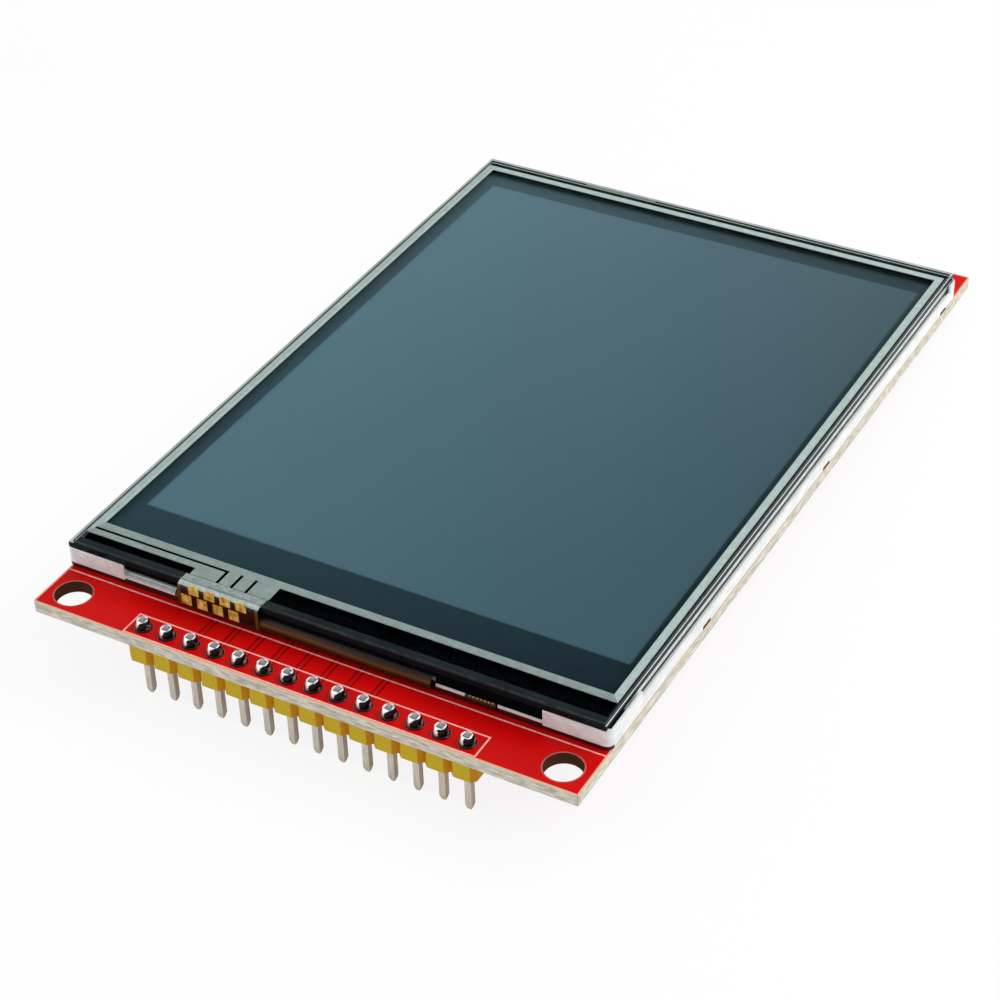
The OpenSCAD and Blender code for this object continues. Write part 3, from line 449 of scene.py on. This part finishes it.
def panelGlass():
    # Thin soda-lime glass of the display cell, dark where the layers below show through;
    # its ground edges glow pale above the frame's wall and carry painted shade, dark down in the gap
    look = {"face": ("#141E20", "#1D2A2B"), "faceMm": 3, "edge": ("#C3CFCD", "#E2EBEA"),
            "edgeMm": 0.8, "gap": "#0A0E0F", "gapShadeTopMm": 1.5}
    material, tree, shader = newMaterial("cell glass, ground edges", Roughness=0.3,
                                         Specular_IOR_Level=0.1)
    onEdge = maths(tree, "LESS_THAN", maths(tree, "ABSOLUTE", facing(tree)[2]), 0.5)
    face = mottle(tree, look["faceMm"], *look["face"])
    edge = mottle(tree, look["edgeMm"], *look["edge"])
    # Painted shade on the ground edges down in the gap
    deep = maths(tree, "LESS_THAN", axes(tree, place(tree))[2], boardTop + look["gapShadeTopMm"] * mm)
    edge = blendColour(tree, deep, edge, hexColour(look["gap"]))
    skinGloss(tree, shader, blendColour(tree, onEdge, face, edge), sharpness=7)
    return material


def touchGlass():
    # Touch panel's glass: cut edges dark, a dark border round the printed silver, a hazy one
    # outside the film on the left and at the back, a painted highlight as a bright arris on the right
    look = {"edge": ("#0A1113", "#141F22"), "border": ("#10191B", "#1C2729"),
            "haze": ("#96A19E", "#B4BDBA"), "arris": ("#D4DEDB", "#EEF3F2"), "arrisMm": 0.09}
    wide = 1.0  # metres, past every edge
    film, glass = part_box("touch_film"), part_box("touch_glass")
    # The last margin is a painted highlight, a bright band along the right arris
    return clearSheet("touch glass, clear", look["edge"], (
        (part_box("touch_traces"), look["border"], 1.0),
        (((film[0][0], -wide), (wide, film[1][1])), look["haze"], 1.0),
        (((-wide, -wide), (glass[1][0] - look["arrisMm"] * mm, wide)), look["arris"], 1.0)))


def siliconChip():
    # Ground silicon: dark, cool, half gloss
    return plainFinish("silicon, ground", ("#26292C", "#33373A"), 0.6, Roughness=0.3)


def silverInk():
    # Screen-printed silver ink: pale grey-green, matt, with a fine mesh grain
    return plainFinish("silver ink, printed", ("#A0B3AE", "#AFC1BC"), 0.6,
                       {"grainMm": 0.12, "depthMm": 0.003}, Roughness=0.7,
                       Specular_IOR_Level=0.0)


def touchPolyester():
    # Hard-coated polyester: clear skin, grey at its cut edges and silvery over the tail
    return clearSheet("hard-coated polyester", ("#2C3537", "#4A5456"),
                      span=(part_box("touch_tail"), ("#93A8A2", "#B4C3BE")))


def touchTailFilm():
    # Film tail: silver contacts where it is held, dark print in front with clear amber rims
    look = {"silver": ("#93A8A2", "#C2CFCB"), "silverMm": 0.5, "heldMm": 2.62, "inMm": 0.02,
            "print": ("#0E0905", "#241608"), "printMm": 0.9, "amber": "#5E4412", "rimMm": 0.3}
    material, tree, shader = newMaterial("touch tail film", Roughness=0.3, IOR=1.6,
                                         Specular_IOR_Level=0.25)
    low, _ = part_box("touch_glass")
    tailLow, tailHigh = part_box("touch_tail")
    where = axes(tree, place(tree))
    held = maths(tree, "MAXIMUM",
                 maths(tree, "GREATER_THAN", where[1], low[1] - look["inMm"] * mm),
                 maths(tree, "GREATER_THAN", where[2], boardTop + look["heldMm"] * mm))
    off = maths(tree, "ABSOLUTE", maths(tree, "SUBTRACT", where[0],
                                        (tailLow[0] + tailHigh[0]) / 2))
    rim = maths(tree, "GREATER_THAN", off, (tailHigh[0] - tailLow[0]) / 2 - look["rimMm"] * mm)
    bottom = maths(tree, "LESS_THAN", where[2], boardTop + look["rimMm"] * mm)
    film = blendColour(tree, maths(tree, "MAXIMUM", rim, bottom),
                       mottle(tree, look["printMm"], *look["print"]), hexColour(look["amber"]))
    silver = mottle(tree, look["silverMm"], *look["silver"])
    tree.links.new(blendColour(tree, held, film, silver), shader.inputs["Base Color"])
    return material


def blackNylon():
    # Heat-proof moulding: dull black with tiny glass flecks
    return plainFinish("socket moulding, black", ("#161618", "#242427"), 0.2,
                       {"grainMm": 0.08, "depthMm": 0.003}, Roughness=0.5)


def platedSteel():
    # Nickel-plated spring steel, rolled: satin with long faint lines
    return plainFinish("nickel-plated sheet steel", ("#B4B7B9", "#D3D5D6"), 0.5,
                       {"grainMm": 0.08, "depthMm": 0.002, "stretch": (0.05, 1, 1)},
                       stretch=(0.1, 1, 1), Metallic=1.0, Roughness=0.32)


def goldFlash():
    # Thin gold over nickel: rich yellow, smooth
    return plainFinish("gold flash", ("#E0A63A", "#F5CC6A"), 0.3,
                       {"grainMm": 0.2, "depthMm": 0.003}, Metallic=0.85, Roughness=0.28)


def goldPads():
    # Gold pads under clear film on the flat cables: warm yellow, cloudy with painted highlights
    # in its bright spots, no mirror left
    return plainFinish("gold pads under film", ("#B4740E", "#FFE27C"), 0.4,
                       stretch=(1, 1, 0.6), Roughness=0.4, Specular_IOR_Level=0.03)


def chipEpoxy():
    # Moulded epoxy: charcoal, fine matt grain
    return plainFinish("moulded epoxy, black", ("#151517", "#232325"), 0.15,
                       {"grainMm": 0.05, "depthMm": 0.003}, Roughness=0.62)


def firedCeramic():
    # Barium titanate chip capacitor: tan, dull, slightly mottled
    return plainFinish("fired ceramic, tan", ("#967248", "#B08C62"), 0.3, Roughness=0.6)


def legendInk():
    # Epoxy legend ink: white, matt, thin enough to let some red through
    return plainFinish("legend ink, off-white", ("#EE958C", "#FFC4BA"), 0.25, Roughness=0.6,
                       Specular_IOR_Level=0.1)


def trackGap():
    # Clearance line beside a track, seen as a dark groove through the red mask
    return plainFinish("mask over a clearance gap", ("#6E0003", "#920508"), 0.4,
                       Roughness=0.35, Specular_IOR_Level=0.1)


def drillRim():
    # Bare laminate where the mask stops short of a drilled hole
    return plainFinish("laminate rim, bare", ("#8E3A34", "#C4685C"), 0.2, Roughness=0.7)


slotMaterials = {
    "red_laminate": redSolderMask(), "tinned_copper": brightTin(), "yellow_nylon": yellowNylon(),
    "pin_metal": platedPin(), "solder": brightSolder(), "white_tape": whiteTape(),
    "white_film": whiteFilm(), "white_plastic": whitePolycarbonate(),
    "clear_acrylic": acrylicGuide(), "amber_polyimide": polyimideFlex(), "led_body": ledBody(),
    "clear_film": prismFilm(), "black_tape": blackTape(), "polariser": polariserFilm(),
    "display_glass": panelGlass(), "silicon": siliconChip(), "silver_ink": silverInk(),
    "touch_film": touchPolyester(), "black_plastic": blackNylon(), "shell_steel": platedSteel(),
    "gold_plate": goldFlash(), "chip_epoxy": chipEpoxy(), "capacitor_ceramic": firedCeramic(),
}
for part in frame["record"]["subparts"]:
    obj = nodes[part["node"]]
    obj.data.materials.clear()
    obj.data.materials.append(slotMaterials[part["material_slot"]])
nodes["touch_tail"].data.materials[0] = touchTailFilm()
nodes["touch_glass"].data.materials[0] = touchGlass()
print("materials:", len(slotMaterials) + 2)


def settle(name, shape, material):
    # Turns a bmesh or a mesh into a piece that belongs to the module
    if isinstance(shape, bmesh.types.BMesh):
        mesh = bpy.data.meshes.new(name)
        bmesh.ops.recalc_face_normals(shape, faces=shape.faces)
        shape.to_mesh(mesh)
        shape.free()
    else:
        mesh = shape
        mesh.name = name
    mesh.materials.clear()
    mesh.materials.append(material)
    piece = bpy.data.objects.new(name, mesh)
    scene.collection.objects.link(piece)
    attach(piece, "root")
    return piece


def addBlock(shape, x, y, z):
    # A box between two x, two y and two z, all in metres
    made = bmesh.ops.create_cube(shape, size=1.0)["verts"]
    for vert in made:
        vert.co = [(a + b) / 2 + part * (b - a) for part, (a, b) in zip(vert.co, (x, y, z))]


def patternTree(name, unit):
    # Repeats a small unit over a grid: named inputs, instances made real, one material
    tree = bpy.data.node_groups.new(name, "GeometryNodeTree")
    face = tree.interface
    face.new_socket("Geometry", in_out="OUTPUT", socket_type="NodeSocketGeometry")
    for label, kind in (("Columns", "Int"), ("Rows", "Int"), ("Step X", "Float"),
                        ("Step Y", "Float"), ("Place", "Vector"), ("Size", "Vector"),
                        ("Finish", "Material")):
        face.new_socket(label, in_out="INPUT", socket_type="NodeSocket" + kind)
    given = addNode(tree, "NodeGroupInput").outputs
    spanX = maths(tree, "MULTIPLY", maths(tree, "SUBTRACT", given["Columns"], 1), given["Step X"])
    spanY = maths(tree, "MULTIPLY", maths(tree, "SUBTRACT", given["Rows"], 1), given["Step Y"])
    grid = addNode(tree, "GeometryNodeMeshGrid", feeds={
        "Size X": spanX, "Size Y": spanY,
        "Vertices X": given["Columns"], "Vertices Y": given["Rows"]})
    spots = addNode(tree, "GeometryNodeMeshToPoints", feeds={"Mesh": grid.outputs["Mesh"]})
    copies = addNode(tree, "GeometryNodeInstanceOnPoints", feeds={
        "Points": spots.outputs[0], "Instance": unit(tree, given)})
    moved = addNode(tree, "GeometryNodeTransform", feeds={
        "Geometry": copies.outputs[0], "Translation": given["Place"]})
    real = addNode(tree, "GeometryNodeRealizeInstances", feeds={"Geometry": moved.outputs[0]})
    done = addNode(tree, "GeometryNodeSetMaterial", feeds={
        "Geometry": real.outputs[0], "Material": given["Finish"]})
    addNode(tree, "NodeGroupOutput", feeds={0: done.outputs[0]})
    return tree


def makePattern(name, tree, sizes, material):
    # Runs the tree once, keeps the plain mesh, and settles it
    start = bpy.data.objects.new(name + "_start", bpy.data.meshes.new(name + "_start"))
    scene.collection.objects.link(start)
    modifier = start.modifiers.new("pattern", "NODES")
    modifier.node_group = tree
    sockets = {item.name: item.identifier for item in tree.interface.items_tree
               if item.item_type == "SOCKET" and item.in_out == "INPUT"}
    for label, value in dict(sizes, Finish=material).items():
        modifier[sockets[label]] = value
    ready = start.evaluated_get(bpy.context.evaluated_depsgraph_get())
    mesh = bpy.data.meshes.new_from_object(ready)
    bpy.data.objects.remove(start)
    return settle(name, mesh, material)


def blockUnit(tree, given):
    return addNode(tree, "GeometryNodeMeshCube", feeds={"Size": given["Size"]}).outputs["Mesh"]


def pairUnit(tree, given):
    # Two parallel blocks, a block's width apart on each side of the middle
    size = addNode(tree, "ShaderNodeSeparateXYZ", feeds={0: given["Size"]})
    bar = blockUnit(tree, given)
    sides = []
    for factor in (-1.5, 1.5):
        shift = addNode(tree, "ShaderNodeCombineXYZ", feeds={
            0: maths(tree, "MULTIPLY", size.outputs[0], factor)})
        sides.append(addNode(tree, "GeometryNodeTransform", feeds={
            "Geometry": bar, "Translation": shift.outputs[0]}).outputs[0])
    join = addNode(tree, "GeometryNodeJoinGeometry")
    for side in sides:
        tree.links.new(side, join.inputs[0])
    return join.outputs[0]


blocks = patternTree("rows of blocks", blockUnit)
pairs = patternTree("rows of pairs", pairUnit)


def printLegend():
    # Box round the header and a line along the display's front, in legend ink
    size = {"line": 0.15, "inkT": 0.02, "boxW": 35.9, "boxY": (0.15, 2.94), "longY": 5.26,
            "longInset": 0.05, "around": 0.35}
    ink = legendInk()
    front, left, right = boardLow[1], boardLow[0], boardHigh[0]
    z = (boardTop, boardTop + size["inkT"] * mm)
    shape = bmesh.new()
    half, line = size["boxW"] / 2 * mm, size["line"] * mm
    y0, y1 = [front + y * mm for y in size["boxY"]]
    for y in (y0, y1 - line):
        addBlock(shape, (-half, half), (y, y + line), z)
    for side in (-1, 1):
        x = side * (half - line / 2)
        addBlock(shape, (x - line / 2, x + line / 2), (y0 + line, y1 - line), z)
    longY = front + size["longY"] * mm
    inset = size["longInset"] * mm
    addBlock(shape, (left + inset, right - inset), (longY - line / 2, longY + line / 2), z)
    settle("board_legend", shape, ink)

    # The same box on the underside, and outlines round the larger small parts
    shape = bmesh.new()
    z = (-size["inkT"] * mm, 0)

    def outline(low, high):
        for y in (low[1], high[1] - line):
            addBlock(shape, (low[0], high[0]), (y, y + line), z)
        for x in (low[0], high[0] - line):
            addBlock(shape, (x, x + line), (low[1] + line, high[1] - line), z)

    outline((-half, y0), (half, y1))
    around = size["around"] * mm
    for node, leads in (("touch_controller", "controller_leads"), ("regulator", "regulator_leads"),
                        ("backlight_transistor", "transistor_leads")):
        low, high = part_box(node)
        footLow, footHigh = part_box(leads)
        outline([min(low[i], footLow[i]) - around for i in (0, 1)],
                [max(high[i], footHigh[i]) + around for i in (0, 1)])
    settle("underside_legend", shape, ink)


def printTracks():
    # Clearance lines beside the tracks that leave the middle pins
    size = {"first": 3, "last": 10, "pinW": 0.64, "gapW": 0.17, "gapT": 0.012, "y": (2.35, 7.0)}
    pinLow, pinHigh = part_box("header_pins")
    count = frame["record"]["mounts"][2]["dims"]["count"]
    pitch = (pinHigh[0] - pinLow[0] - size["pinW"] * mm) / (count - 1)
    middle = ((size["first"] + size["last"]) / 2 - (count + 1) / 2) * pitch
    y0, y1 = [boardLow[1] + y * mm for y in size["y"]]
    makePattern("track_gaps", pairs, {
        "Columns": size["last"] - size["first"] + 1, "Rows": 1, "Step X": pitch, "Step Y": 0.0,
        "Place": (middle, (y0 + y1) / 2, boardTop + size["gapT"] / 2 * mm),
        "Size": (size["gapW"] * mm, y1 - y0, size["gapT"] * mm)}, trackGap())


def rimHoles():
    # Bare rims round the four mounting holes, on both faces
    size = {"hole": 3.5, "rimW": 0.13, "t": 0.012, "segments": 64}
    pattern = frame["record"]["mounts"][0]["dims"]
    turns = [2 * math.pi * k / size["segments"] for k in range(size["segments"])]
    inner, outer = size["hole"] / 2, size["hole"] / 2 + size["rimW"]
    shape = bmesh.new()

    def addRing(cx, cy, z0, z1):
        rings = [[shape.verts.new((cx + r * mm * math.cos(a), cy + r * mm * math.sin(a), z))
                  for a in turns] for r, z in ((inner, z0), (inner, z1), (outer, z1), (outer, z0))]
        for ringA, ringB in zip(rings, rings[1:] + rings[:1]):
            for k in range(len(turns)):
                n = (k + 1) % len(turns)
                shape.faces.new((ringA[k], ringA[n], ringB[n], ringB[k]))

    for x in (-1, 1):
        for y in (-1, 1):
            cx, cy = x * pattern["spacing_x_mm"] / 2 * mm, y * pattern["spacing_y_mm"] / 2 * mm
            addRing(cx, cy, boardTop, boardTop + size["t"] * mm)
            addRing(cx, cy, -size["t"] * mm, 0)
    settle("hole_rims", shape, drillRim())


printLegend()
printTracks()
rimHoles()
print("board print: done")


def goldContacts():
    # Two staggered rows of gold pads on the tail, and the small pads on the backlight tab
    size = {"columns": 4, "step": 1.68, "upper": (1.1, 0.05, 0.96), "lower": (1.06, 0.05, 1.1),
            "upperZ": 2.44, "lowerZ": 1.2, "stagger": -0.5, "forward": 0.25, "tabMiddle": 15.35,
            "tabPads": 7, "tabStep": 0.37, "tabPad": (0.2, 0.16, 0.16), "tabTurnDeg": 52,
            "tabSunk": 0.35}
    gold = goldPads()
    low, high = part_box("touch_tail")
    middle = (low[0] + high[0]) / 2
    frontY = low[1] - size["upper"][1] * size["forward"] * mm
    for name, pad, z, stagger in (
            ("tail_contacts_upper", size["upper"], size["upperZ"], 0.0),
            ("tail_contacts_lower", size["lower"], size["lowerZ"], size["stagger"])):
        makePattern(name, blocks, {
            "Columns": size["columns"], "Rows": 1, "Step X": size["step"] * mm, "Step Y": 0.0,
            "Place": (middle + stagger * size["step"] * mm, frontY, boardTop + z * mm),
            "Size": [v * mm for v in pad]}, gold)
    low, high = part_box("led_flex")
    bendR = (high[2] - low[2]) / 2
    turn = math.radians(size["tabTurnDeg"])
    inside = bendR - size["tabPad"][1] * size["tabSunk"] * mm
    makePattern("tab_contacts", blocks, {
        "Columns": size["tabPads"], "Rows": 1, "Step X": size["tabStep"] * mm, "Step Y": 0.0,
        "Place": (size["tabMiddle"] * mm, low[1] + bendR - inside * math.cos(turn),
                  low[2] + bendR + inside * math.sin(turn)),
        "Size": [v * mm for v in size["tabPad"]]}, gold)


goldContacts()
print("cable contacts: done")


view = {"place": (98.693, -178.375, 144.117), "tiltDeg": 53.312, "rollDeg": 1.485,
        "turnDeg": 28.978, "lensMm": 91.58, "sensorMm": 36.0, "nearMm": 10.0}
cameraData = bpy.data.cameras.new("camera")
camera = bpy.data.objects.new("camera", cameraData)
scene.collection.objects.link(camera)
camera.location = [v * mm for v in view["place"]]
camera.rotation_euler = [math.radians(view[k]) for k in ("tiltDeg", "rollDeg", "turnDeg")]
cameraData.lens = view["lensMm"]
cameraData.sensor_width = view["sensorMm"]
cameraData.clip_start = view["nearMm"] * mm
scene.camera = camera
scene.view_settings.view_transform = "Standard"

light = {"skyLevel": 0.6, "keyWatts": 0.9, "keySizeMm": 240, "keyPlace": (210, 110, 300),
         "fillWatts": 0.15, "fillPlace": (-260, -200, 220)}


def areaLamp(name, place, watts, sizeMm):
    data = bpy.data.lights.new(name, "AREA")
    data.energy = watts
    data.size = sizeMm * mm
    lamp = bpy.data.objects.new(name, data)
    scene.collection.objects.link(lamp)
    lamp.location = [v * mm for v in place]
    lamp.rotation_euler = (-Vector(lamp.location)).to_track_quat("-Z", "Y").to_euler()


areaLamp("key", light["keyPlace"], light["keyWatts"], light["keySizeMm"])
areaLamp("fill", light["fillPlace"], light["fillWatts"], light["keySizeMm"])

world = bpy.data.worlds.new("studio")
scene.world = world
world.use_nodes = True
sky = world.node_tree
sky.nodes.clear()
path = addNode(sky, "ShaderNodeLightPath")
mirrored = maths(sky, "MAXIMUM", path.outputs["Is Glossy Ray"], path.outputs["Is Transmission Ray"])
seen = maths(sky, "MAXIMUM", path.outputs["Is Camera Ray"], mirrored)
backdrop = addNode(sky, "ShaderNodeBackground", feeds={
    "Color": (1, 1, 1, 1), "Strength": ranged(sky, seen, 0.0, 1.0, light["skyLevel"], 1.0)})
addNode(sky, "ShaderNodeOutputWorld", feeds={"Surface": backdrop.outputs[0]})


def layFloor():
    # Pale table top under the pin tips and the far edge of the card socket
    look = {"reach": 1.2, "paint": ("#F4F4F4", "#F8F8F8"), "grainMm": 40, "whiteShare": 0.88}
    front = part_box("header_pins")
    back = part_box("socket_shell")
    y0, z0 = (front[0][1] + front[1][1]) / 2, front[0][2]
    y1, z1 = back[1][1], back[0][2]
    slope = (z1 - z0) / (y1 - y0)
    reach = look["reach"]
    mesh = bpy.data.meshes.new("floor")
    corners = [(x, y, z0 + (y - y0) * slope) for x, y in
               ((-reach, -reach), (reach, -reach), (reach, reach), (-reach, reach))]
    mesh.from_pydata(corners, [], [(0, 1, 2, 3)])
    floor = bpy.data.objects.new("floor", mesh)
    scene.collection.objects.link(floor)
    material, tree, shader = newMaterial("pale table top", Roughness=0.9)
    tree.links.new(mottle(tree, look["grainMm"], *look["paint"]), shader.inputs["Base Color"])
    # The camera sees it mostly white, with a trace of the shadow kept
    glow = addNode(tree, "ShaderNodeEmission", feeds={"Color": (1, 1, 1, 1), "Strength": 1.0})
    seen = addNode(tree, "ShaderNodeLightPath").outputs["Is Camera Ray"]
    soft = addNode(tree, "ShaderNodeMixShader", feeds={
        0: maths(tree, "MULTIPLY", seen, look["whiteShare"]), 1: shader.outputs[0], 2: glow.outputs[0]})
    output = [node for node in tree.nodes if node.bl_idname == "ShaderNodeOutputMaterial"][0]
    tree.links.new(soft.outputs[0], output.inputs["Surface"])
    mesh.materials.append(material)


layFloor()
print("camera, light and floor: done")
